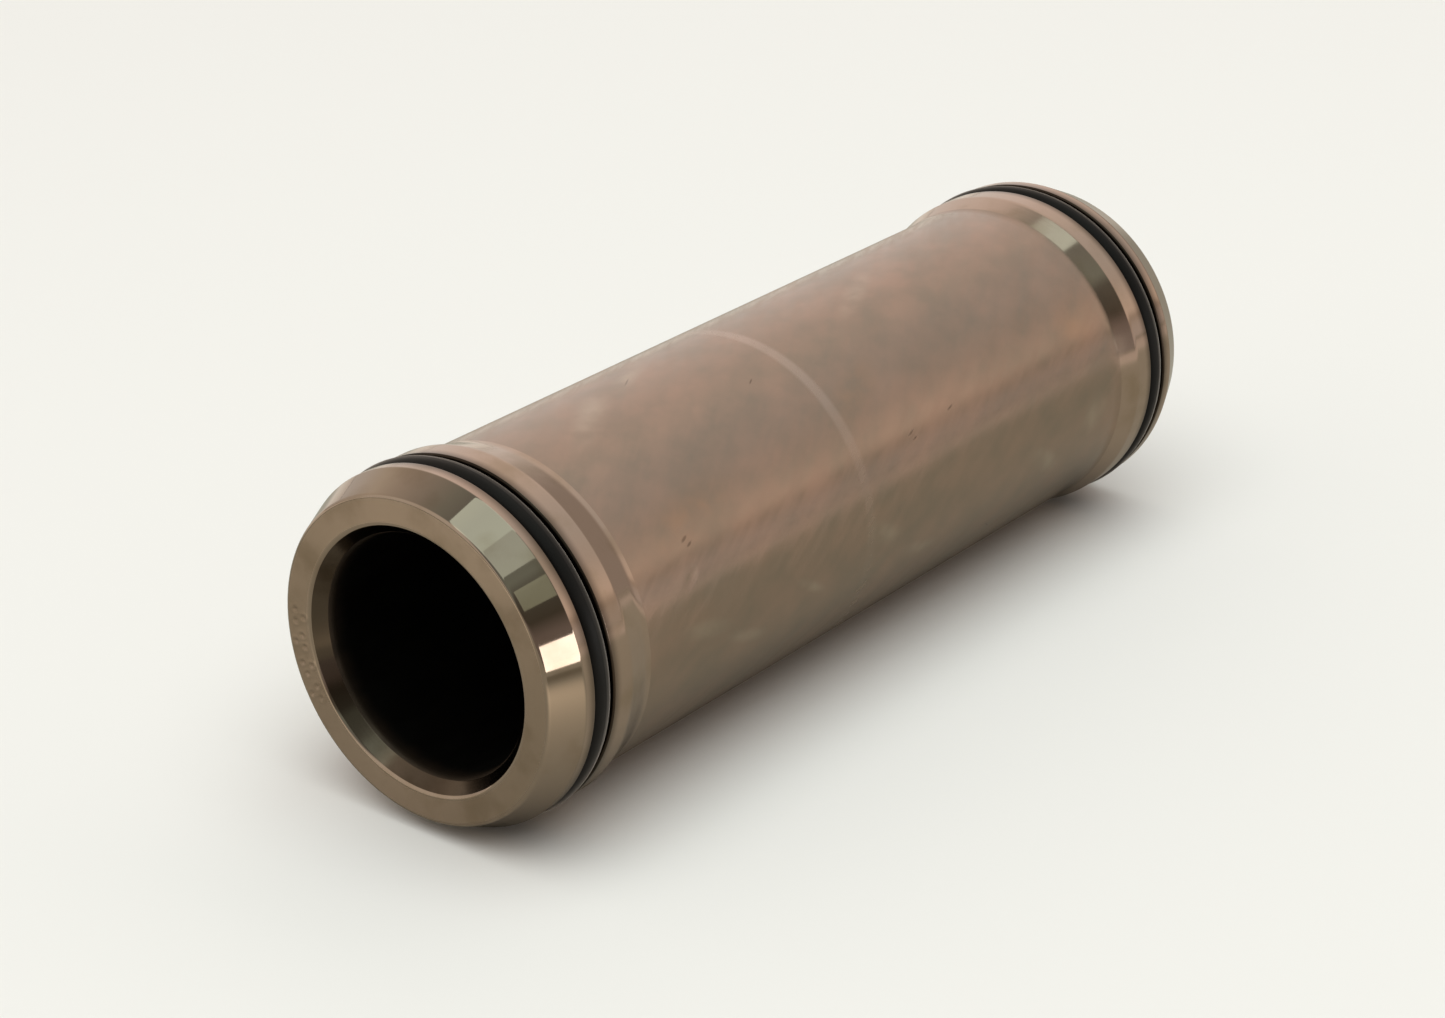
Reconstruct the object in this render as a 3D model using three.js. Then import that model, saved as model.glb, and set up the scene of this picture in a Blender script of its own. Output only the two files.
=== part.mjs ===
// A thick-walled steel connecting tube that plugs into a round bore at each end.
// A rubber O-ring in a groove near each end seals it there. The two ends are alike.
// Millimetres, +Z up. The tube lies along X, with its middle at the origin.

import * as THREE from 'three';

// The barrel
const barrelLength = 195;
const collarRadius = 32.5;
const bodyRadius = 31;
const boreRadius = 22;

// The end face and the tapered nose around it
const faceRadius = 29.7;
const noseLength = 6.3;

// The O-ring and its groove, with the groove's place measured in from the end face
const ringSection = 3.53;
const ringStandsProud = 0.35;
const ringClearance = 0.32;
const grooveOffset = 8.8;
const grooveWidth = 4.6;

// The tapered shoulder from the collar down to the body, rounded at its top and its foot
const shoulderEnd = 24.8;
const shoulderSlope = (15 * Math.PI) / 180;
const shoulderRadius = 3;
const filletRadius = 8;

// The tapered mouth of the bore
const mouthRadius = 24.5;
const mouthSlope = (38 * Math.PI) / 180;

// Every round piece is turned with this many flats. The flats lie at the true radius,
// and one faces straight down, so that the tube rests on it.
const flats = 32;
const flatToCorner = 1 / Math.cos(Math.PI / flats);
const arcSteps = 3;
const ringSectionSteps = 8;

const ringRadius = collarRadius + ringStandsProud - ringSection / 2;
const grooveRadius = ringRadius - ringSection / 2 - ringClearance;
const ringOffset = grooveOffset + grooveWidth / 2;
const mouthDepth = (mouthRadius - boreRadius) / Math.tan(mouthSlope);

const turnedSteel = new THREE.MeshStandardMaterial({
  name: 'turned_steel',
  color: 0x97877a,
  roughness: 0.35,
  metalness: 1,
});

const blackRubber = new THREE.MeshStandardMaterial({
  name: 'black_rubber',
  color: 0x1e1b18,
  roughness: 0.6,
  metalness: 0,
});

// A mesh turned about X from a closed outline of (radius, distance along the axis).
// The outline runs towards +X on its outer side.
function turned(name, outline, material) {
  const corners = outline.map((point) => new THREE.Vector2(point.x * flatToCorner, point.y));
  const geometry = new THREE.LatheGeometry(corners, flats, Math.PI / flats);
  const mesh = new THREE.Mesh(geometry, material);
  mesh.name = name;
  mesh.rotation.z = -Math.PI / 2;
  return mesh;
}

// A hollow arc leaves the body, a straight taper rises from it, and a round arc reaches the collar.
function addShoulder(outline, start) {
  const rise = collarRadius - bodyRadius;
  const radii = filletRadius + shoulderRadius;
  const shoulderLength = rise / Math.tan(shoulderSlope) + radii * Math.tan(shoulderSlope / 2);
  const filletCentre = bodyRadius + filletRadius;
  const roundCentre = collarRadius - shoulderRadius;
  outline.absarc(filletCentre, start, filletRadius, Math.PI, Math.PI - shoulderSlope, true);
  outline.absarc(roundCentre, start + shoulderLength, shoulderRadius, -shoulderSlope, 0, false);
}

function addGroove(outline, faceHeight) {
  const outerWall = faceHeight - grooveOffset;
  const innerWall = outerWall - grooveWidth;
  outline.lineTo(collarRadius, innerWall);
  outline.lineTo(grooveRadius, innerWall);
  outline.lineTo(grooveRadius, outerWall);
  outline.lineTo(collarRadius, outerWall);
}

function addNoseAndMouth(outline, faceHeight) {
  outline.lineTo(collarRadius, faceHeight - noseLength);
  outline.lineTo(faceRadius, faceHeight);
  outline.lineTo(mouthRadius, faceHeight);
  outline.lineTo(boreRadius, faceHeight - mouthDepth);
}

// One end of the barrel's wall, from the body, over the end face and into the bore
function endOutline() {
  const faceHeight = barrelLength / 2;
  const outline = new THREE.Path();
  outline.moveTo(bodyRadius, faceHeight - shoulderEnd);
  addShoulder(outline, faceHeight - shoulderEnd);
  addGroove(outline, faceHeight);
  addNoseAndMouth(outline, faceHeight);
  return outline.getPoints(arcSteps);
}

function barrel() {
  const end = endOutline();
  const otherEnd = end.map((point) => new THREE.Vector2(point.x, -point.y)).reverse();
  return turned('barrel', [...end, ...otherEnd, end[0]], turnedSteel);
}

// side is -1 for the marked end and 1 for the plain end
function oRing(name, side) {
  const section = new THREE.Path();
  section.absarc(ringRadius, 0, ringSection / 2, 0, 2 * Math.PI, false);
  const ring = turned(name, section.getPoints(ringSectionSteps), blackRubber);
  ring.position.x = side * (barrelLength / 2 - ringOffset);
  return ring;
}

const group = new THREE.Group();
group.name = 'connecting_tube';
group.add(barrel());
group.add(oRing('o_ring_marked_end', -1));
group.add(oRing('o_ring_plain_end', 1));

export default group;
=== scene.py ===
import math
from collections import namedtuple

import bpy
import numpy as np
from mathutils import Matrix, Vector


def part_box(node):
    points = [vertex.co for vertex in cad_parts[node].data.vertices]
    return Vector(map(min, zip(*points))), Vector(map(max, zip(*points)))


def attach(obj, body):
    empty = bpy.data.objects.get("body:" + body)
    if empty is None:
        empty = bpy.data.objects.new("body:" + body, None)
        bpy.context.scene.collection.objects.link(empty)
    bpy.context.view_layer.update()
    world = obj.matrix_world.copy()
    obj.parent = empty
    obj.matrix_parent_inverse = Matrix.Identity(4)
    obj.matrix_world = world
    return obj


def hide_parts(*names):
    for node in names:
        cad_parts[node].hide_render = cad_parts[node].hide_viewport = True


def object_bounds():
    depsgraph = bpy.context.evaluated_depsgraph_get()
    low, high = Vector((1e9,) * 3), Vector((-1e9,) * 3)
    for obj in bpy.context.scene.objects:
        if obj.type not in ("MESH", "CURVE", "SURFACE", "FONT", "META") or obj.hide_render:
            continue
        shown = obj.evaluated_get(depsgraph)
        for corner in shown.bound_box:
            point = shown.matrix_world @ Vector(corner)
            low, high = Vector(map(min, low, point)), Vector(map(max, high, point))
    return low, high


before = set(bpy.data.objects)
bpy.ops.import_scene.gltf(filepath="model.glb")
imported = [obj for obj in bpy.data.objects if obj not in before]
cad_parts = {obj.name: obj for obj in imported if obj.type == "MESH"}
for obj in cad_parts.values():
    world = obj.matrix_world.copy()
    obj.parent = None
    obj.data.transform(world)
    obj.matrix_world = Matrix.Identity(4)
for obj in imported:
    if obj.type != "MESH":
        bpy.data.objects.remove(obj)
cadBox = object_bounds()
print("loaded the packed tube")

mm = 0.001
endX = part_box("barrel")[1][0] / mm    # from the middle of the tube to each end face


def hexColour(code):
    # sRGB hex to the linear numbers that the shaders use
    parts = [int(code[i:i + 2], 16) / 255 for i in (1, 3, 5)]
    linear = [c / 12.92 if c <= 0.04045 else ((c + 0.055) / 1.055) ** 2.4 for c in parts]
    return (*linear, 1.0)


# settings that many nodes share
plus = {"operation": "ADD"}
minus = {"operation": "SUBTRACT"}
times = {"operation": "MULTIPLY"}
withoutSign = {"operation": "ABSOLUTE"}
lengthOf = {"operation": "LENGTH"}
smooth = {"interpolation_type": "SMOOTHSTEP"}
ofColours = {"data_type": "RGBA"}


def addNode(tree, kind, settings=None, inputs=None):
    # settings are the node's own properties
    # each input takes a value, a socket that feeds it, or a node whose first output does
    node = tree.nodes.new(kind)
    for name, value in (settings or {}).items():
        setattr(node, name, value)
    for name, value in (inputs or {}).items():
        if isinstance(value, bpy.types.Node):
            tree.links.new(value.outputs[0], node.inputs[name])
        elif isinstance(value, bpy.types.NodeSocket):
            tree.links.new(value, node.inputs[name])
        else:
            node.inputs[name].default_value = value
    return node


def directionOf(azimuth, elevation):
    # towards a viewer who looks along +Y at azimuth 0 and along -X at azimuth 90
    azimuth, elevation = math.radians(azimuth), math.radians(elevation)
    level = math.cos(elevation)
    return Vector((math.sin(azimuth) * level, -math.cos(azimuth) * level, math.sin(elevation)))


cameraView = {
    "azimuth": -51.84,
    "elevation": 24.79,
    "distance": 625.5,
    "aim": (-7.4, 5.1, -5.8),
    "lens": 82.8,
}


def makeCamera(view):
    back = directionOf(view["azimuth"], view["elevation"])
    data = bpy.data.cameras.new("camera")
    data.lens = view["lens"]
    data.sensor_width = 36
    data.sensor_fit = "HORIZONTAL"
    data.dof.use_dof = False
    camera = bpy.data.objects.new("camera", data)
    camera.location = (Vector(view["aim"]) + back * view["distance"]) * mm
    camera.rotation_mode = "QUATERNION"
    camera.rotation_quaternion = (-back).to_track_quat("-Z", "Y")
    bpy.context.collection.objects.link(camera)
    bpy.context.scene.camera = camera


makeCamera(cameraView)
bpy.context.scene.view_settings.view_transform = "Standard"
print("camera placed")


# The barrel is one steel piece, turned all over: its outline goes once round the X axis.
barrel = {
    "bodyRadius": 31.0,
    "collarRadius": 32.5,
    "boreRadius": 22.0,
    "faceRadius": 29.7,
    "mouthRadius": 24.5,
    "mouthSlope": 38.0,
    "mouthRound": 1.0,
    "boreRound": 2.0,
    "noseLength": 6.3,
    "grooveOffset": 8.8,
    "grooveWidth": 4.6,
    "grooveRadius": 29.0,
    "shoulderEnd": 24.8,
    "shoulderSlope": 15.0,
    "shoulderRound": 3.0,
    "shoulderFillet": 8.0,
    "edgeRound": 0.35,
    "noseRound": 1.0,
    "faceRound": 0.8,
    "finePitch": 0.3,        # spacing of the rings across the marked face and the dent
    "stepsAround": 400,
    "gather": 0.6,           # 0 spaces the steps evenly, more draws them to the marks and the dent
    "gatherAngle": 74.0,    # where they gather, here and half a turn on
}
dent = {
    "inwards": 37.9,         # from the marked end face
    "angle": 71.0,           # round the tube, from straight up towards -Y
    "length": 6.0,
    "width": 3.0,
    "slant": 32.0,
    "depth": 0.1,
}
sealX = endX - barrel["grooveOffset"] - barrel["grooveWidth"] / 2    # from the middle to each O-ring
holdGap = 0.12               # a ring this close to each round keeps the flat beside it shaded flat
dentX = dent["inwards"] - endX
mouthDepth = (barrel["mouthRadius"] - barrel["boreRadius"]) / math.tan(math.radians(barrel["mouthSlope"]))

Corner = namedtuple("Corner", "x radius rounding finish pitch edge", defaults=[None])


def endCorners(size, facePitch):
    # x is measured in from the end face; finish and pitch are for the stretch after the corner,
    # and edge is the finish of the corner's own round where that differs
    slope = math.radians(size["shoulderSlope"])
    foot = size["shoulderEnd"] - size["shoulderFillet"] * math.tan(slope / 2)
    top = foot - (size["collarRadius"] - size["bodyRadius"]) / math.tan(slope)
    grooveEnd = size["grooveOffset"] + size["grooveWidth"]
    edge = size["edgeRound"]
    return [
        Corner(foot, size["bodyRadius"], size["shoulderFillet"], "collar", 0),
        Corner(top, size["collarRadius"], size["shoulderRound"], "collar", 0),
        Corner(grooveEnd, size["collarRadius"], edge, "groove", 0),
        Corner(grooveEnd, size["grooveRadius"], edge, "groove", 0),
        Corner(size["grooveOffset"], size["grooveRadius"], edge, "groove", 0),
        Corner(size["grooveOffset"], size["collarRadius"], edge, "collar", 0),
        Corner(size["noseLength"], size["collarRadius"], size["noseRound"], "nose", 0),
        Corner(0, size["faceRadius"], size["faceRound"], "face", facePitch, "nose"),
        Corner(0, size["mouthRadius"], size["mouthRound"], "mouth", 0, "nose"),
        Corner(mouthDepth, size["boreRadius"], size["boreRound"], "bore", 0),
    ]


def barrelCorners(size):
    # out over the marked end, through the bore, back over the plain end and along the body
    marked, plain = endCorners(size, size["finePitch"]), endCorners(size, 0)
    corners = [corner._replace(x=corner.x - endX) for corner in marked]
    finishes = ["ground"] + [corner.finish for corner in plain[:-1]]
    for corner, finish in reversed(list(zip(plain, finishes))):
        corners.append(corner._replace(x=endX - corner.x, finish=finish))
    reach, radius = dent["length"] * 0.75, size["bodyRadius"]
    corners.append(Corner(dentX + reach, radius, 0, "ground", size["finePitch"]))
    corners.append(Corner(dentX - reach, radius, 0, "ground", 0))
    return corners


def roundOff(before, corner, after, rounding):
    # the points of the arc that takes off a corner, from one straight to the next
    if not rounding:
        return [corner]
    towards, away = (before - corner).normalized(), (after - corner).normalized()
    half = towards.angle(away) / 2
    setback = rounding / math.tan(half)
    centre = corner + (towards + away).normalized() * rounding / math.sin(half)
    start, end = corner + towards * setback - centre, corner + away * setback - centre
    sweep = start.angle(end)
    steps = max(3, round(math.degrees(sweep) * rounding / 30))
    side = (end - start * math.cos(sweep)) / math.sin(sweep)
    turns = [sweep * i / steps for i in range(steps + 1)]
    return [centre + start * math.cos(turn) + side * math.sin(turn) for turn in turns]


def alongStretch(start, end, pitch):
    # the rings between two rounds: one close to each, and more where the surface is worked
    length = (end - start).length
    if length < holdGap:
        return []    # two rounds that run into each other
    gap = min(holdGap, length / 4) / length
    count = round(length / pitch) if pitch else 1
    return [start.lerp(end, gap + (1 - 2 * gap) * i / count) for i in range(count + 1)]


def outlineOf(corners):
    # the closed outline as points (x, radius), with the finish of the stretch after each point
    places = [Vector((corner.x, corner.radius)) for corner in corners]
    following = places[1:] + places[:1]
    arcs = [
        roundOff(places[i - 1], places[i], following[i], corner.rounding)
        for i, corner in enumerate(corners)
    ]
    points, finishes = [], []
    for i, corner in enumerate(corners):
        nextArc = arcs[(i + 1) % len(arcs)]
        stretch = arcs[i] + alongStretch(arcs[i][-1], nextArc[0], corner.pitch)
        onRound = len(arcs[i]) - 1
        points += stretch
        finishes += [corner.edge or corner.finish] * onRound + [corner.finish] * (len(stretch) - onRound)
    return points, finishes


def outlineObject(name, points, pathRadius):
    # lies in the XY plane as the sweep wants it: X is outwards from the path, Y is towards the marked end
    count = len(points)
    mesh = bpy.data.meshes.new(name)
    places = [((radius - pathRadius) * mm, -x * mm, 0) for x, radius in points]
    mesh.from_pydata(places, [(i, (i + 1) % count) for i in range(count)], [])
    outline = bpy.data.objects.new(name, mesh)
    bpy.context.collection.objects.link(outline)
    return outline


def newTree(name, sockets):
    # sockets are the named inputs after the geometry, as (name, kind)
    tree = bpy.data.node_groups.new(name, "GeometryNodeTree")
    tree.interface.new_socket("Geometry", in_out="INPUT", socket_type="NodeSocketGeometry")
    for socketName, kind in sockets:
        tree.interface.new_socket(socketName, in_out="INPUT", socket_type="NodeSocket" + kind)
    tree.interface.new_socket("Geometry", in_out="OUTPUT", socket_type="NodeSocketGeometry")
    return tree, tree.nodes.new("NodeGroupInput").outputs


sweepSockets = [
    ("Path Radius", "Float"),
    ("Steps Around", "Int"),
    ("Gather", "Float"),
    ("Gather Angle", "Float"),
]


def sweepRound(tree, given):
    # carries the outline round a circle about X, with the steps drawn together at two places
    profile = addNode(tree, "GeometryNodeMeshToCurve", None, {"Mesh": given["Geometry"]})
    circle = addNode(tree, "GeometryNodeCurvePrimitiveCircle", None, {
        "Resolution": given["Steps Around"],
        "Radius": given["Path Radius"],
    })
    along = addNode(tree, "GeometryNodeSplineParameter").outputs["Factor"]
    evenAngle = addNode(tree, "ShaderNodeMath", times, {0: along, 1: math.tau})
    fromGather = addNode(tree, "ShaderNodeMath", minus, {0: evenAngle, 1: given["Gather Angle"]})
    twice = addNode(tree, "ShaderNodeMath", times, {0: fromGather, 1: 2.0})
    wave = addNode(tree, "ShaderNodeMath", {"operation": "SINE"}, {0: twice})
    pull = addNode(tree, "ShaderNodeMath", times, {0: wave, 1: given["Gather"]})
    halfPull = addNode(tree, "ShaderNodeMath", times, {0: pull, 1: -0.5})
    angle = addNode(tree, "ShaderNodeMath", plus, {0: evenAngle, 1: halfPull})
    cosine = addNode(tree, "ShaderNodeMath", {"operation": "COSINE"}, {0: angle})
    sine = addNode(tree, "ShaderNodeMath", {"operation": "SINE"}, {0: angle})
    place = addNode(tree, "ShaderNodeCombineXYZ", None, {
        "X": addNode(tree, "ShaderNodeMath", times, {0: cosine, 1: given["Path Radius"]}),
        "Y": addNode(tree, "ShaderNodeMath", times, {0: sine, 1: given["Path Radius"]}),
    })
    path = addNode(tree, "GeometryNodeSetPosition", None, {"Geometry": circle, "Position": place})
    swept = addNode(tree, "GeometryNodeCurveToMesh", None, {"Curve": path, "Profile Curve": profile})
    return turnToTube(tree, swept)


def turnToTube(tree, geometry, x=0.0):
    # from the XY plane, where a sweep starts, to a place along the tube
    return addNode(tree, "GeometryNodeTransform", None, {
        "Geometry": geometry,
        "Rotation": (0, math.pi / 2, 0),
        "Translation": addNode(tree, "ShaderNodeCombineXYZ", None, {"X": x}),
    })


def closeTree(tree, geometry, given):
    real = addNode(tree, "GeometryNodeRealizeInstances", None, {"Geometry": geometry})
    addNode(tree, "NodeGroupOutput", None, {
        "Geometry": addNode(tree, "GeometryNodeSetMaterial", None, {
            "Geometry": real,
            "Material": given["Material"],
        }),
    })


# the row of punch marks on the marked face
punchMarks = {
    "count": 4,
    "ringRadius": 27.0,
    "firstAngle": -119.5,    # round the tube, from straight up towards -Y
    "lastAngle": -89.0,
    "dots": 3,               # punch dimples in each mark
    "dotSpread": 1.25,
    "dimpleRadius": 0.7,
    "dimpleDepth": 0.28,
    "burrHeight": 0.05,
    "seed": 5,
}
markSockets = [
    ("Face X", "Float"),
    ("Marks", "Int"),
    ("Ring Radius", "Float"),
    ("Start Angle", "Float"),
    ("Sweep Angle", "Float"),
    ("Dots", "Int"),
    ("Dot Spread", "Float"),
    ("Dimple Radius", "Float"),
    ("Dimple Depth", "Float"),
    ("Burr Height", "Float"),
    ("Seed", "Int"),
]


def punchDots(tree, given):
    # a row of marks round the face, each a few dots turned at random
    row = addNode(tree, "GeometryNodeCurveArc", None, {
        "Resolution": given["Marks"],
        "Radius": given["Ring Radius"],
        "Start Angle": given["Start Angle"],
        "Sweep Angle": given["Sweep Angle"],
    })
    mark = addNode(tree, "GeometryNodeMeshCircle", None, {
        "Vertices": given["Dots"],
        "Radius": given["Dot Spread"],
    })
    turn = addNode(tree, "FunctionNodeRandomValue", {"data_type": "FLOAT"}, {
        "Max": math.tau,
        "Seed": given["Seed"],
    })
    turned = addNode(tree, "ShaderNodeCombineXYZ", None, {"Z": turn.outputs["Value"]})
    marks = addNode(tree, "GeometryNodeInstanceOnPoints", None, {
        "Points": row,
        "Instance": mark,
        "Rotation": turned,
    })
    real = addNode(tree, "GeometryNodeRealizeInstances", None, {"Geometry": marks})
    return turnToTube(tree, real, given["Face X"])


def pressMarks(tree, geometry, dots, given):
    # each dot sinks a round dimple and raises a low burr round it
    near = addNode(tree, "GeometryNodeProximity", {"target_element": "POINTS"}, {"Geometry": dots})
    distance = near.outputs["Distance"]
    dimple = addNode(tree, "ShaderNodeMapRange", smooth, {
        "Value": distance,
        "From Max": given["Dimple Radius"],
        "To Min": given["Dimple Depth"],
        "To Max": addNode(tree, "ShaderNodeMath", times, {0: given["Burr Height"], 1: -1.0}),
    })
    fade = addNode(tree, "ShaderNodeMapRange", smooth, {
        "Value": distance,
        "From Min": given["Dimple Radius"],
        "From Max": addNode(tree, "ShaderNodeMath", times, {0: given["Dimple Radius"], 1: 1.8}),
        "To Min": 1.0,
        "To Max": 0.0,
    })
    inwards = addNode(tree, "ShaderNodeMath", times, {0: dimple, 1: fade})
    return addNode(tree, "GeometryNodeSetPosition", None, {
        "Geometry": geometry,
        "Offset": addNode(tree, "ShaderNodeCombineXYZ", None, {"X": inwards}),
    })


def barrelTree():
    sockets = sweepSockets + markSockets + [("Material", "Material")]
    tree, given = newTree("turned barrel with punch marks", sockets)
    swept = sweepRound(tree, given)
    pressed = pressMarks(tree, swept, punchDots(tree, given), given)
    closeTree(tree, pressed, given)
    return tree


def sealTree():
    tree, given = newTree("moulded ring", sweepSockets + [("Material", "Material")])
    closeTree(tree, sweepRound(tree, given), given)
    return tree


def bakePiece(name, source, tree, values):
    # inputs are set by identifier before the source is first evaluated
    modifier = source.modifiers.new("shape", "NODES")
    modifier.node_group = tree
    for item in tree.interface.items_tree:
        if item.in_out == "INPUT" and item.name in values:
            modifier[item.identifier] = values[item.name]
    evaluated = source.evaluated_get(bpy.context.evaluated_depsgraph_get())
    mesh = bpy.data.meshes.new_from_object(evaluated)
    mesh.name = name
    mesh.shade_smooth()
    piece = bpy.data.objects.new(name, mesh)
    bpy.context.collection.objects.link(piece)
    source.modifiers.remove(modifier)
    bpy.data.objects.remove(source)
    return piece


def sweepAngle(angle):
    # a sweep starts straight down, and the angles in the dictionaries straight up
    return math.radians(angle + 180)


def tubeFrame(inwards, angle, slant):
    # a place on the body: local X runs along the tube, turned by the slant, and local Z points out
    turned = Matrix.Rotation(math.radians(angle), 4, "X") @ Matrix.Rotation(math.radians(slant), 4, "Z")
    outwards = Matrix.Rotation(math.radians(angle), 4, "X") @ Vector((0, 0, barrel["bodyRadius"] * mm))
    return Matrix.Translation(outwards + Vector(((inwards - endX) * mm, 0, 0))) @ turned


def pressDent(mesh, size):
    # a shallow oval knock in the body
    toDent = np.array(tubeFrame(size["inwards"], size["angle"], size["slant"]).inverted())
    places = np.empty(len(mesh.vertices) * 3, dtype=np.float32)
    mesh.vertices.foreach_get("co", places)
    places = places.reshape(-1, 3).astype(float)
    local = places @ toDent[:3, :3].T + toDent[:3, 3]
    reach = np.hypot(local[:, 0] / (size["length"] / 2 * mm), local[:, 1] / (size["width"] / 2 * mm))
    outside = np.hypot(places[:, 1], places[:, 2]) > (barrel["bodyRadius"] - 1) * mm
    depth = np.where(outside & (reach < 1), size["depth"] * mm * (1 - reach ** 2) ** 2, 0)
    away = np.hypot(places[:, 1], places[:, 2])
    places[:, 1:] *= (1 - depth / away)[:, None]
    mesh.vertices.foreach_set("co", places.astype(np.float32).ravel())
    mesh.update()


def dressStretches(mesh, finishes, materials):
    # the sweep makes one ring of faces after another, each with a face for every stretch of the outline
    for material in list(materials.values())[1:]:
        mesh.materials.append(material)
    order = {finish: i for i, finish in enumerate(materials)}
    slots = [order[finish] for finish in finishes]
    mesh.polygons.foreach_set("material_index", np.resize(slots, len(mesh.polygons)))
    mesh.update()


def buildBarrel(materials):
    points, finishes = outlineOf(barrelCorners(barrel))
    pathRadius = barrel["bodyRadius"]
    source = outlineObject("barrel outline", points, pathRadius)
    piece = bakePiece("finished_barrel", source, barrelTree(), {
        "Path Radius": pathRadius * mm,
        "Steps Around": barrel["stepsAround"],
        "Gather": barrel["gather"],
        "Gather Angle": sweepAngle(barrel["gatherAngle"]),
        "Face X": -endX * mm,
        "Marks": punchMarks["count"],
        "Ring Radius": punchMarks["ringRadius"] * mm,
        "Start Angle": sweepAngle(punchMarks["firstAngle"]),
        "Sweep Angle": math.radians(punchMarks["lastAngle"] - punchMarks["firstAngle"]),
        "Dots": punchMarks["dots"],
        "Dot Spread": punchMarks["dotSpread"] * mm,
        "Dimple Radius": punchMarks["dimpleRadius"] * mm,
        "Dimple Depth": punchMarks["dimpleDepth"] * mm,
        "Burr Height": punchMarks["burrHeight"] * mm,
        "Seed": punchMarks["seed"],
        "Material": materials["ground"],
    })
    pressDent(piece.data, dent)
    dressStretches(piece.data, finishes, materials)
    return piece


seal = {
    "section": 3.53,
    "spread": 1.2,           # a seated ring flattens a little, and is this much wider than it is deep
    "flashHeight": 0.03,     # the fine line that the mould's two halves leave
    "flashWidth": 0.22,
    "sectionSteps": 96,
    "stepsAround": 288,
}


def sealOutline(size, centreX, ringRadius):
    # a round section with the mould line at its outermost and innermost points
    points = []
    for i in range(size["sectionSteps"]):
        angle = -math.tau * i / size["sectionSteps"]
        fromFlash = size["section"] / 2 * abs(math.sin(angle)) / (size["flashWidth"] / 2)
        radius = size["section"] / 2 - size["flashHeight"] * (1 - math.exp(-fromFlash ** 2))
        x = centreX + radius * math.sin(angle) * size["spread"]
        points.append((x, ringRadius + radius * math.cos(angle)))
    return points


def buildSeal(name, node, material):
    low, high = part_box(node)
    centreX = (low[0] + high[0]) / 2 / mm
    ringRadius = high[2] / mm - seal["section"] / 2
    source = outlineObject(name + " outline", sealOutline(seal, centreX, ringRadius), ringRadius)
    return bakePiece(name, source, sealTree(), {
        "Path Radius": ringRadius * mm,
        "Steps Around": seal["stepsAround"],
        "Gather": 0.0,
        "Gather Angle": 0.0,
        "Material": material,
    })


def newMaterial(name):
    material = bpy.data.materials.new(name)
    material.use_nodes = True
    material.node_tree.nodes.clear()
    return material, material.node_tree


def closeMaterial(tree, inputs):
    addNode(tree, "ShaderNodeOutputMaterial", None, {
        "Surface": addNode(tree, "ShaderNodeBsdfPrincipled", None, inputs),
    })


def stretchedNoise(tree, coordinates, length, width, detail=2.0):
    # noise drawn out along the coordinates' X, from 0 to 1
    scaled = addNode(tree, "ShaderNodeMapping", None, {
        "Vector": coordinates,
        "Scale": (1 / (length * mm), 1 / (width * mm), 1 / (width * mm)),
    })
    return addNode(tree, "ShaderNodeTexNoise", None, {"Vector": scaled, "Scale": 1.0, "Detail": detail})


groundSteelLook = {
    "warmFilm": "#b19887",
    "greyFilm": "#9b8d7e",
    "layLean": 32,           # how far the grinding lay and the film's streaks lean off the tube's axis
    "cloudLength": 20,
    "cloudWidth": 11,
    "blotch": 5,
    "streakLength": 9,
    "streakWidth": 2,
    "layLength": 7,
    "layWidth": 0.5,
    "layDepth": 0.006,
    "roughness": (0.17, 0.26),
    "witnessX": -9.7,        # the ring that a steady rest rubbed on the body
    "witnessWidth": 3,
    "witnessTint": "#d2c0b4",
    "witnessRise": (8, 28),    # heights above the axis between which the ring grows stronger: a rubbed ring, with a painted highlight that grows towards the top
    "witnessStrength": (0.06, 0.34),
    "witnessRoughness": 0.04,
    "nickTint": "#5c4a3a",
    "nickStrength": 0.5,
    "nickDepth": 0.03,
    "stainTint": "#b59478",
    "stainStrength": 0.4,
    "smudgeTint": "#c2b6a4",
    "smudgeStrength": 0.5,
}
# each spot is (inwards from the marked end, angle, length, width, slant off the axis)
nicks = [
    (39.3, 58.8, 2.4, 0.7, 24),
    (40.0, 61.0, 2.0, 0.6, 24),
    (104.2, 63.6, 2.8, 0.6, 18),
    (104.8, 65.8, 2.2, 0.6, 14),
    (117.2, 62.2, 2.6, 0.5, 16),
    (59.0, -4.0, 5.0, 0.35, 30),
    (77.0, 22.0, 2.4, 0.4, 28),
    (131.0, 118.0, 3.4, 0.5, -40),
    (56.0, 170.0, 4.0, 0.5, 35),
    (148.0, -80.0, 3.0, 0.6, 12),
]
stains = [
    (162.0, 57.0, 22, 13, 20),
    (43.0, 53.0, 34, 12, 6),
    (96.0, 42.0, 26, 10, 25),
    (70.0, -130.0, 30, 14, 30),
]
smudges = [
    (40.0, 90.0, 18, 5, -14),
    (52.0, 101.0, 16, 4, -20),
    (70.0, 96.0, 13, 3, -30),
    (92.0, 92.0, 16, 6, -24),
    (106.0, 108.0, 18, 5, -18),
    (146.0, 100.0, 17, 6, -30),
    (163.0, 92.0, 13, 9, 40),
    (44.0, 4.0, 34, 8, 30),
    (62.0, -8.0, 26, 6, 25),
    (120.0, 6.0, 30, 6, 25),
]


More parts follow.
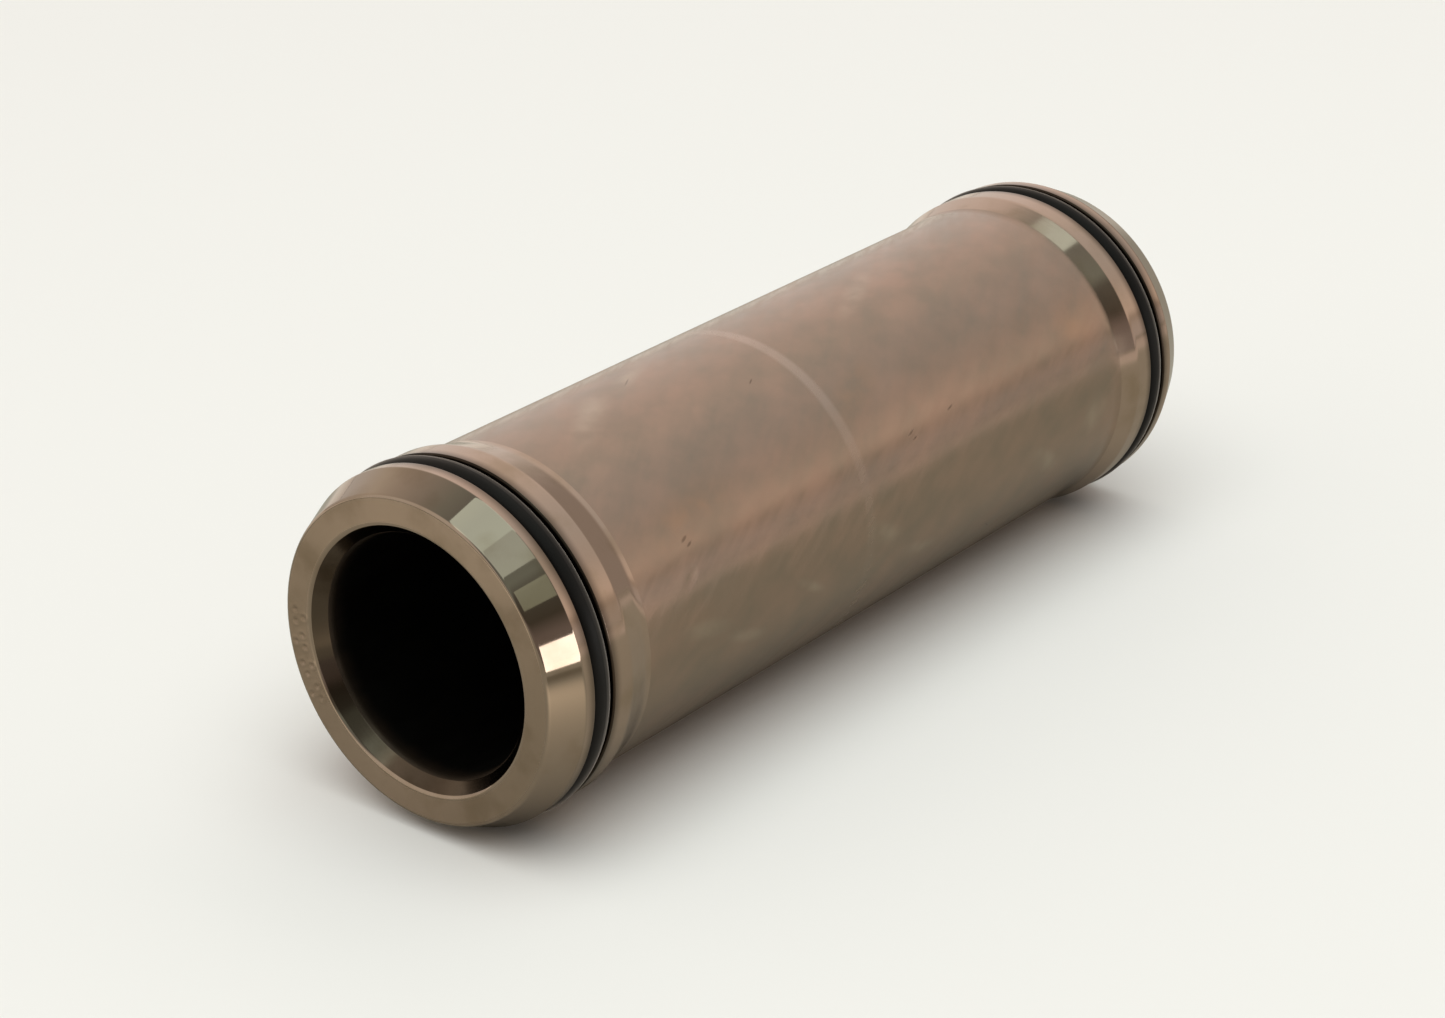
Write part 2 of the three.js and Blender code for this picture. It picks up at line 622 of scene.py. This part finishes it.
def spotMask(tree, coordinates, spots, soft):
    # 1 in the middle of each spot and 0 outside them all; soft is the part of a spot that fades
    total = 0.0
    for inwards, angle, length, width, slant in spots:
        place = tubeFrame(inwards, angle, slant)
        local = addNode(tree, "ShaderNodeMapping", {"vector_type": "TEXTURE"}, {
            "Vector": coordinates,
            "Location": place.to_translation(),
            "Rotation": place.to_euler(),
            "Scale": (length / 2 * mm, width / 2 * mm, max(1, width / 2) * mm),
        })
        reach = addNode(tree, "ShaderNodeVectorMath", lengthOf, {0: local})
        mask = addNode(tree, "ShaderNodeMapRange", smooth, {
            "Value": reach.outputs["Value"],
            "From Min": 1 - soft,
            "To Min": 1.0,
            "To Max": 0.0,
        })
        total = addNode(tree, "ShaderNodeMath", {"operation": "MAXIMUM"}, {0: total, 1: mask})
    return total


oilReach = (2.4, 4.6)    # from a ring's middle along the tube, where its oil starts to fade and where it ends


def oilNearSeal(tree, x):
    # 1 beside an O-ring's groove, fading to 0 a few millimetres along
    fromMiddle = addNode(tree, "ShaderNodeMath", withoutSign, {0: x})
    past = addNode(tree, "ShaderNodeMath", minus, {0: fromMiddle, 1: sealX * mm})
    return addNode(tree, "ShaderNodeMapRange", smooth, {
        "Value": addNode(tree, "ShaderNodeMath", withoutSign, {0: past}),
        "From Min": oilReach[0] * mm,
        "From Max": oilReach[1] * mm,
        "To Min": 1.0,
        "To Max": 0.0,
    })


def filmColour(tree, look, cloud, streak, blotch):
    # the film is a sum of broad clouds, leaning streaks and small blotches
    clouds = addNode(tree, "ShaderNodeMapRange", smooth, {
        "Value": cloud, "From Min": 0.3, "From Max": 0.7, "To Min": -0.1, "To Max": 0.4,
    })
    streaks = addNode(tree, "ShaderNodeMapRange", smooth, {
        "Value": streak, "From Min": 0.3, "From Max": 0.7, "To Max": 0.2,
    })
    blotches = addNode(tree, "ShaderNodeMapRange", smooth, {
        "Value": blotch, "From Min": 0.25, "From Max": 0.75, "To Max": 0.45,
    })
    film = addNode(tree, "ShaderNodeMath", plus, {0: clouds, 1: streaks})
    film = addNode(tree, "ShaderNodeMath", plus, {0: film, 1: blotches})
    grey, warm = hexColour(look["greyFilm"]), hexColour(look["warmFilm"])
    return addNode(tree, "ShaderNodeMix", ofColours, {0: film, 6: grey, 7: warm}).outputs[2]


def witnessMask(tree, look, x):
    # 1 on the rubbed ring, fading to 0 at its edges
    past = addNode(tree, "ShaderNodeMath", minus, {0: x, 1: look["witnessX"] * mm})
    halfWidth = look["witnessWidth"] / 2 * mm
    return addNode(tree, "ShaderNodeMapRange", smooth, {
        "Value": addNode(tree, "ShaderNodeMath", withoutSign, {0: past}),
        "From Min": halfWidth * 0.4,
        "From Max": halfWidth * 1.2,
        "To Min": 1.0,
        "To Max": 0.0,
    })


def groundSteel(look):
    # Carbon steel, centreless ground, oiled and handled: a satin grey-brown with cloudy film,
    # a fine lay that winds round the tube, and a few small nicks.
    material, tree = newMaterial("ground carbon steel")
    own = addNode(tree, "ShaderNodeTexCoord").outputs["Object"]
    parts = addNode(tree, "ShaderNodeSeparateXYZ", None, {0: own}).outputs
    twist = math.tan(math.radians(look["layLean"])) / (barrel["bodyRadius"] * mm)
    wound = addNode(tree, "ShaderNodeVectorRotate", {"rotation_type": "X_AXIS"}, {
        "Vector": own,
        "Angle": addNode(tree, "ShaderNodeMath", times, {0: parts["X"], 1: twist}),
    })
    cloud = stretchedNoise(tree, wound, look["cloudLength"], look["cloudWidth"], 5.0)
    blotch = stretchedNoise(tree, own, look["blotch"] * 1.4, look["blotch"], 5.0)
    streak = stretchedNoise(tree, wound, look["streakLength"], look["streakWidth"], 4.0)
    lay = stretchedNoise(tree, wound, look["layLength"], look["layWidth"], 3.0)
    patchy = addNode(tree, "ShaderNodeMapRange", smooth, {
        "Value": blotch, "From Min": 0.35, "From Max": 0.65, "To Min": 0.25,
    })
    stained = addNode(tree, "ShaderNodeMath", times, {0: spotMask(tree, own, stains, 1.0), 1: patchy})
    smudged = addNode(tree, "ShaderNodeMath", times, {0: spotMask(tree, own, smudges, 1.0), 1: patchy})
    nick = spotMask(tree, own, nicks, 0.7)
    witness = witnessMask(tree, look, parts["X"])
    bottom, top = look["witnessRise"]
    faint, strong = look["witnessStrength"]
    # painted highlight: the rubbed ring's lighter tint grows towards the top of the tube
    highlightTowardsTop = addNode(tree, "ShaderNodeMapRange", smooth, {
        "Value": parts["Z"],
        "From Min": bottom * mm,
        "From Max": top * mm,
        "To Min": faint,
        "To Max": strong,
    })
    colour = filmColour(tree, look, cloud, streak, blotch)
    for mask, strength, tint in (
        (stained, look["stainStrength"], look["stainTint"]),
        (smudged, look["smudgeStrength"], look["smudgeTint"]),
        (witness, highlightTowardsTop, look["witnessTint"]),
        (nick, look["nickStrength"], look["nickTint"]),
    ):
        amount = addNode(tree, "ShaderNodeMath", times, {0: mask, 1: strength})
        colour = addNode(tree, "ShaderNodeMix", ofColours, {
            0: amount, 6: colour, 7: hexColour(tint),
        }).outputs[2]
    low, high = look["roughness"]
    rough = addNode(tree, "ShaderNodeMapRange", smooth, {
        "Value": streak, "From Min": 0.3, "From Max": 0.7, "To Min": low, "To Max": high,
    })
    rubbed = addNode(tree, "ShaderNodeMath", times, {0: witness, 1: look["witnessRoughness"]})
    scored = addNode(tree, "ShaderNodeMath", times, {0: nick, 1: look["nickDepth"] / look["layDepth"]})
    closeMaterial(tree, {
        "Base Color": colour,
        "Metallic": 1.0,
        "Roughness": addNode(tree, "ShaderNodeMath", plus, {0: rough, 1: rubbed}),
        "Normal": addNode(tree, "ShaderNodeBump", None, {
            "Height": addNode(tree, "ShaderNodeMath", minus, {0: lay, 1: scored}),
            "Distance": look["layDepth"] * mm,
        }),
    })
    return material


turnedLooks = {
    "collar": {
        "name": "finish turned steel",    # the sealing lands: smooth, with a soft shine
        "colour": "#b8a392",
        "spots": "#a8947f",
        "linePitch": 0.5,
        "lineDepth": 0.003,
        "roughness": (0.1, 0.16),
        "anisotropy": 0.0,
        "oil": 0.65,
    },
    "face": {
        "name": "faced steel",            # the tool's fine rings fan the light across the end
        "colour": "#ad9a88",
        "spots": "#9c8a76",
        "linePitch": 0.35,
        "lineDepth": 0.004,
        "roughness": (0.36, 0.44),
        "anisotropy": 0.85,
        "oil": 0.0,
    },
    "nose": {
        "name": "polished steel",         # tapers polished with strip: nearly a mirror
        "colour": "#a99888",
        "spots": "#9c8a78",
        "linePitch": 0.4,
        "lineDepth": 0.0015,
        "roughness": (0.04, 0.07),
        "anisotropy": 0.4,
        "oil": 0.0,
    },
    "mouth": {
        "name": "polished steel with a dark base",  # shiny, with a dark base colour that takes most of the light
        "colour": "#62564a",
        "spots": "#4f4336",
        "linePitch": 0.4,
        "lineDepth": 0.003,
        "roughness": (0.12, 0.2),
        "anisotropy": 0.4,
        "oil": 0.0,
    },
    "groove": {
        "name": "grooved steel with oil and painted shade",    # cut with a narrow tool, dark with assembly oil and with painted shade in the groove
        "colour": "#3f362e",
        "spots": "#2c2620",
        "linePitch": 0.3,
        "lineDepth": 0.006,
        "roughness": (0.3, 0.4),
        "anisotropy": 0.2,
        "oil": 0.0,
    },
}


spotSize = 9    # the dull spots that hands and oil leave on turned steel


def turnedSteel(look):
    # Fine rings round the axis. A real tool's lines are finer, and these are as coarse as they need to show.
    material, tree = newMaterial(look["name"])
    own = addNode(tree, "ShaderNodeTexCoord").outputs["Object"]
    parts = addNode(tree, "ShaderNodeSeparateXYZ", None, {0: own}).outputs
    across = addNode(tree, "ShaderNodeCombineXYZ", None, {"Y": parts["Y"], "Z": parts["Z"]})
    radius = addNode(tree, "ShaderNodeVectorMath", lengthOf, {0: across}).outputs["Value"]
    lines = addNode(tree, "ShaderNodeTexNoise", None, {
        "Vector": addNode(tree, "ShaderNodeCombineXYZ", None, {"X": parts["X"], "Y": radius}),
        "Scale": 1 / (look["linePitch"] * mm),
        "Detail": 3.0,
    })
    spots = stretchedNoise(tree, own, spotSize, spotSize, 4.0)
    spotted = addNode(tree, "ShaderNodeMapRange", smooth, {
        "Value": spots, "From Min": 0.45, "From Max": 0.75,
    })
    clean, dull = hexColour(look["colour"]), hexColour(look["spots"])
    colour = addNode(tree, "ShaderNodeMix", ofColours, {0: spotted, 6: clean, 7: dull}).outputs[2]
    oiled = addNode(tree, "ShaderNodeMath", times, {0: oilNearSeal(tree, parts["X"]), 1: look["oil"]})
    oil = hexColour(turnedLooks["groove"]["colour"])
    low, high = look["roughness"]
    closeMaterial(tree, {
        "Base Color": addNode(tree, "ShaderNodeMix", ofColours, {0: oiled, 6: colour, 7: oil}).outputs[2],
        "Metallic": 1.0,
        "Roughness": addNode(tree, "ShaderNodeMapRange", smooth, {
            "Value": spots, "From Min": 0.3, "From Max": 0.7, "To Min": low, "To Max": high,
        }),
        "Anisotropic": look["anisotropy"],
        "Anisotropic Rotation": 0.25,
        "Tangent": addNode(tree, "ShaderNodeTangent", {"direction_type": "RADIAL", "axis": "X"}),
        "Normal": addNode(tree, "ShaderNodeBump", None, {
            "Height": lines,
            "Distance": look["lineDepth"] * mm,
        }),
    })
    return material


boreLook = {
    "mouth": "#43372c",
    # painted shade: the black that the bore turns to further in
    "paintedShadeDeep": "#100e0b",
    "fadeDepth": 9,
    "fadeRagged": 4,         # how far the painted shade's edge wanders along the bore
    "spotLength": 12,
    "spotWidth": 5,
    "linePitch": 0.4,
    "lineLength": 2,
    "lineDepth": 0.01,
    "roughness": (0.4, 0.55),
}


def boreWithPaintedShade(look):
    # Bored steel, brown at the mouth and black further in: painted shade that deepens into the bore.
    material, tree = newMaterial("bored steel with painted shade")
    own = addNode(tree, "ShaderNodeTexCoord").outputs["Object"]
    x = addNode(tree, "ShaderNodeSeparateXYZ", None, {0: own}).outputs["X"]
    spots = stretchedNoise(tree, own, look["spotLength"], look["spotWidth"], 4.0)
    inwards = addNode(tree, "ShaderNodeMath", minus, {
        0: endX * mm,
        1: addNode(tree, "ShaderNodeMath", withoutSign, {0: x}),
    })
    uneven = addNode(tree, "ShaderNodeMath", times, {0: spots, 1: look["fadeRagged"] * mm})
    # painted shade: darker the deeper into the bore
    depth = addNode(tree, "ShaderNodeMapRange", smooth, {
        "Value": addNode(tree, "ShaderNodeMath", plus, {0: inwards, 1: uneven}),
        "From Min": mouthDepth * mm,
        "From Max": look["fadeDepth"] * mm,
    })
    mouth, paintedShadeDeep = hexColour(look["mouth"]), hexColour(look["paintedShadeDeep"])
    low, high = look["roughness"]
    closeMaterial(tree, {
        "Base Color": addNode(tree, "ShaderNodeMix", ofColours, {0: depth, 6: mouth, 7: paintedShadeDeep}).outputs[2],
        "Metallic": 0.7,
        "Roughness": addNode(tree, "ShaderNodeMapRange", smooth, {
            "Value": spots, "From Min": 0.3, "From Max": 0.7, "To Min": low, "To Max": high,
        }),
        "Normal": addNode(tree, "ShaderNodeBump", None, {
            "Height": stretchedNoise(tree, own, look["linePitch"], look["lineLength"]),
            "Distance": look["lineDepth"] * mm,
        }),
    })
    return material


rubberLook = {
    "colour": "#0b0908",
    "bloom": "#171310",      # the grey-brown haze that wax and dust leave on old rubber
    "roughness": (0.48, 0.6),
    "hazeSize": 7,
    "grainSize": 0.35,
    "grainDepth": 0.01,
    "dustTint": (1.0, 0.87, 0.77, 1),
}


def nitrileRubber(look):
    # Nitrile rubber, compression moulded and lightly oiled: black, with a dull sheen and a faint bloom.
    material, tree = newMaterial("moulded nitrile rubber")
    own = addNode(tree, "ShaderNodeTexCoord").outputs["Object"]
    haze = stretchedNoise(tree, own, look["hazeSize"], look["hazeSize"], 5.0)
    bloom = addNode(tree, "ShaderNodeMapRange", smooth, {
        "Value": haze, "From Min": 0.5, "From Max": 0.8, "To Max": 0.6,
    })
    black, grey = hexColour(look["colour"]), hexColour(look["bloom"])
    low, high = look["roughness"]
    closeMaterial(tree, {
        "Base Color": addNode(tree, "ShaderNodeMix", ofColours, {0: bloom, 6: black, 7: grey}).outputs[2],
        "Roughness": addNode(tree, "ShaderNodeMapRange", smooth, {
            "Value": haze, "From Min": 0.3, "From Max": 0.7, "To Min": low, "To Max": high,
        }),
        "IOR": 1.52,
        "Specular IOR Level": 0.16,    # oil and dust take the edge off its shine
        "Sheen Weight": 0.6,           # dust catches the light where the rubber is seen edge on
        "Sheen Roughness": 0.35,
        "Sheen Tint": look["dustTint"],
        "Normal": addNode(tree, "ShaderNodeBump", None, {
            "Height": stretchedNoise(tree, own, look["grainSize"], look["grainSize"]),
            "Distance": look["grainDepth"] * mm,
        }),
    })
    return material


finishes = {"ground": groundSteel(groundSteelLook)}
for finish in turnedLooks:
    finishes[finish] = turnedSteel(turnedLooks[finish])
finishes["bore"] = boreWithPaintedShade(boreLook)
print("materials made")

barrelPiece = buildBarrel(finishes)
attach(barrelPiece, "root")
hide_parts("barrel")
print("barrel built:", len(barrelPiece.data.polygons), "faces")

rubber = nitrileRubber(rubberLook)
for end in ("marked_end", "plain_end"):
    sealPiece = buildSeal("seal_" + end, "o_ring_" + end, rubber)
    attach(sealPiece, "root")
    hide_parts("o_ring_" + end)
print("seals built")


studio = {
    "floorSize": 16.0,       # metres
    "floorColour": "#ebe9e7",
    "backdrop": (0.87, 0.86, 0.84, 1),
    # what the steel mirrors of the floor is painted: a dim board with painted pools of light and painted
    # shade, each as (x, y, where it starts to fade, where it ends, colour)
    "mirroredFloor": (0.40, 0.378, 0.328, 1),
    "paintedPatches": [
        (-0.11, -0.32, 0.02, 0.12, (0.24, 0.22, 0.18, 1)),
        (-0.13, -0.13, 0.0, 0.11, (0.90, 0.81, 0.68, 1)),
        (-0.24, 0.08, 0.0, 0.11, (1.15, 1.04, 0.90, 1)),
        (0.6, -0.9, 0.6, 0.78, (0.64, 0.57, 0.53, 1)),
        (0.4, 2.4, 2.1, 2.28, (0.84, 0.77, 0.71, 1)),
    ],
    # what the steel mirrors of the room, as (angle round the tube from straight up towards -Y, colour):
    # a pale wall beyond the plain end, and a dimmer room beside the tube
    "roomAhead": [
        (-180, (0.30, 0.28, 0.25, 1)),
        (-93, (0.86, 0.79, 0.73, 1)),
        (-53, (0.98, 0.88, 0.83, 1)),
        (-33, (0.92, 0.82, 0.77, 1)),
        (-13, (0.85, 0.78, 0.73, 1)),
        (7, (0.74, 0.70, 0.67, 1)),
        (27, (0.68, 0.65, 0.62, 1)),
        (47, (0.68, 0.62, 0.57, 1)),
        (65, (0.84, 0.73, 0.64, 1)),
        (71, (0.88, 0.75, 0.65, 1)),
        (76, (0.50, 0.42, 0.35, 1)),
        (81, (0.62, 0.55, 0.50, 1)),
        (97, (0.64, 0.59, 0.57, 1)),
        (104, (0.40, 0.37, 0.33, 1)),
        (180, (0.30, 0.28, 0.25, 1)),
    ],
    "roomBeside": [
        (-180, (0.30, 0.28, 0.25, 1)),
        (-80, (0.74, 0.68, 0.62, 1)),
        (-65, (0.74, 0.66, 0.56, 1)),
        (-50, (0.60, 0.53, 0.46, 1)),
        (-35, (0.47, 0.43, 0.38, 1)),
        (-19, (0.33, 0.34, 0.30, 1)),
        (0, (0.20, 0.20, 0.19, 1)),
        (40, (0.28, 0.32, 0.28, 1)),
        (47, (0.14, 0.14, 0.12, 1)),
        (65, (0.10, 0.09, 0.07, 1)),
        (74, (0.26, 0.22, 0.20, 1)),
        (97, (0.34, 0.31, 0.29, 1)),
        (180, (0.30, 0.28, 0.25, 1)),
    ],
    "roomBehind": (0.80, 0.74, 0.66, 1),
    "roomEnd": (0.42, 0.37, 0.33, 1),
    # where each starts and ends, as the X of a direction, and as its Y for the far side
    "aheadFrom": (0.43, 0.53),
    "endFrom": (0.8, 0.92),
    "behindFrom": (-0.5, -0.25),
    "farSideFrom": (-0.1, 0.2),
}


def makeFloor(look):
    half = look["floorSize"] / 2
    z = cadBox[0].z
    mesh = bpy.data.meshes.new("floor")
    corners = [(-half, -half, z), (half, -half, z), (half, half, z), (-half, half, z)]
    mesh.from_pydata(corners, [], [(0, 1, 2, 3)])
    floor = bpy.data.objects.new("floor", mesh)
    bpy.context.collection.objects.link(floor)
    material, tree = newMaterial("white board with painted reflections")
    own = addNode(tree, "ShaderNodeTexCoord").outputs["Object"]
    mirrored = look["mirroredFloor"]
    for x, y, inner, outer, colour in look["paintedPatches"]:
        reach = addNode(tree, "ShaderNodeVectorMath", {"operation": "DISTANCE"}, {0: own, 1: (x, y, z)})
        lit = addNode(tree, "ShaderNodeMapRange", smooth, {
            "Value": reach.outputs["Value"],
            "From Min": inner,
            "From Max": outer,
            "To Min": 1.0,
            "To Max": 0.0,
        })
        mirrored = addNode(tree, "ShaderNodeMix", ofColours, {0: lit, 6: mirrored, 7: colour}).outputs[2]
    # painted reflection: glossy rays see the dim board with its painted light and shade, and the camera sees
    # the plain white board
    isGlossy = addNode(tree, "ShaderNodeLightPath").outputs["Is Glossy Ray"]
    board = hexColour(look["floorColour"])
    seen = addNode(tree, "ShaderNodeMix", ofColours, {0: isGlossy, 6: board, 7: mirrored})
    closeMaterial(tree, {
        "Base Color": seen.outputs[2],
        "Roughness": 0.9,
        "Specular IOR Level": 0.0,    # so the low lamp leaves no streak on the board
    })
    mesh.materials.append(material)


def rampStops(node, stops):
    # stops are (angle, colour) from -180 to 180
    elements = node.color_ramp.elements
    while len(elements) < len(stops):
        elements.new(1.0)
    for element, (angle, colour) in zip(elements, stops):
        element.position = angle / 360 + 0.5
        element.color = colour


def makeWorld(look):
    world = bpy.data.worlds.new("room")
    bpy.context.scene.world = world
    world.use_nodes = True
    tree = world.node_tree
    tree.nodes.clear()
    towards = addNode(tree, "ShaderNodeTexCoord").outputs["Generated"]
    parts = addNode(tree, "ShaderNodeSeparateXYZ", None, {0: towards}).outputs
    nearSide = addNode(tree, "ShaderNodeMath", times, {0: parts["Y"], 1: -1.0})
    around = addNode(tree, "ShaderNodeMath", {"operation": "ARCTAN2"}, {0: nearSide, 1: parts["Z"]})
    turns = addNode(tree, "ShaderNodeMath", {"operation": "DIVIDE"}, {0: around, 1: math.tau})
    place = addNode(tree, "ShaderNodeMath", plus, {0: turns, 1: 0.5})
    beside = addNode(tree, "ShaderNodeValToRGB", None, {0: place})
    ahead = addNode(tree, "ShaderNodeValToRGB", None, {0: place})
    rampStops(beside, look["roomBeside"])
    rampStops(ahead, look["roomAhead"])
    isAhead = addNode(tree, "ShaderNodeMapRange", smooth, {
        "Value": parts["X"], "From Min": look["aheadFrom"][0], "From Max": look["aheadFrom"][1],
    })
    isEnd = addNode(tree, "ShaderNodeMapRange", smooth, {
        "Value": parts["X"], "From Min": look["endFrom"][0], "From Max": look["endFrom"][1],
    })
    isBehind = addNode(tree, "ShaderNodeMapRange", smooth, {
        "Value": parts["X"],
        "From Min": look["behindFrom"][0],
        "From Max": look["behindFrom"][1],
        "To Min": 1.0,
        "To Max": 0.0,
    })
    farSide = addNode(tree, "ShaderNodeMapRange", smooth, {
        "Value": parts["Y"], "From Min": look["farSideFrom"][0], "From Max": look["farSideFrom"][1],
    })
    behindFar = addNode(tree, "ShaderNodeMath", times, {0: isBehind, 1: farSide})
    isCamera = addNode(tree, "ShaderNodeLightPath").outputs["Is Camera Ray"]
    room = beside
    for mask, colour in (
        (isAhead, ahead),
        (isEnd, look["roomEnd"]),
        (behindFar, look["roomBehind"]),
        (isCamera, look["backdrop"]),
    ):
        room = addNode(tree, "ShaderNodeMix", ofColours, {0: mask, 6: room, 7: colour}).outputs[2]
    addNode(tree, "ShaderNodeOutputWorld", None, {
        "Surface": addNode(tree, "ShaderNodeBackground", None, {"Color": room}),
    })


# name: (place, what it faces, width, height, brightness, colour), in metres
softLamps = {
    "overhead soft box": ((-0.16, -0.07, 1.2), (-0.16, -0.07, 0), 1.68, 0.56, 0.86, (0.79, 1.0, 0.95)),
    "overhead second box": ((-0.265, -0.595, 1.2), (-0.265, -0.595, 0), 1.47, 0.49, 0.56, (0.82, 1.0, 0.95)),
}
mirroredLamps = {
    "side strip": ((0, -0.94, 0.765), (0, 0, 0), 0.6, 0.26, 0.34, (0.84, 1.0, 0.78)),
    "low lamp": ((0.04, -0.6, 0.05), (0.04, 0, 0.05), 0.48, 0.155, 3.2, (1.0, 0.99, 0.98)),
}


def makeLamp(name, place, facing, width, height, brightness, colour):
    data = bpy.data.lights.new(name, "AREA")
    data.shape = "RECTANGLE"
    data.size, data.size_y = width, height
    data.energy = brightness * math.pi * width * height
    data.color = colour
    lamp = bpy.data.objects.new(name, data)
    lamp.location = place
    lamp.rotation_mode = "QUATERNION"
    lamp.rotation_quaternion = (Vector(facing) - Vector(place)).to_track_quat("-Z", "Y")
    bpy.context.collection.objects.link(lamp)
    return lamp


floorLight = {
    "brightness": 1.7,
    "spread": 70,
    "tilt": (12, -14),
}


def makeFloorLight(look):
    # lifts the floor and the rubber without showing in the steel
    data = bpy.data.lights.new("floor light", "SUN")
    data.energy = look["brightness"]
    data.angle = math.radians(look["spread"])
    light = bpy.data.objects.new("floor light", data)
    light.rotation_euler = (math.radians(look["tilt"][0]), math.radians(look["tilt"][1]), 0)
    light.visible_glossy = False
    bpy.context.collection.objects.link(light)


makeFloor(studio)
makeWorld(studio)
for name, facts in softLamps.items():
    makeLamp(name, *facts)
for name, facts in mirroredLamps.items():
    makeLamp(name, *facts).visible_diffuse = False    # shown by the steel, without lighting the floor
makeFloorLight(floorLight)
print("studio lit")
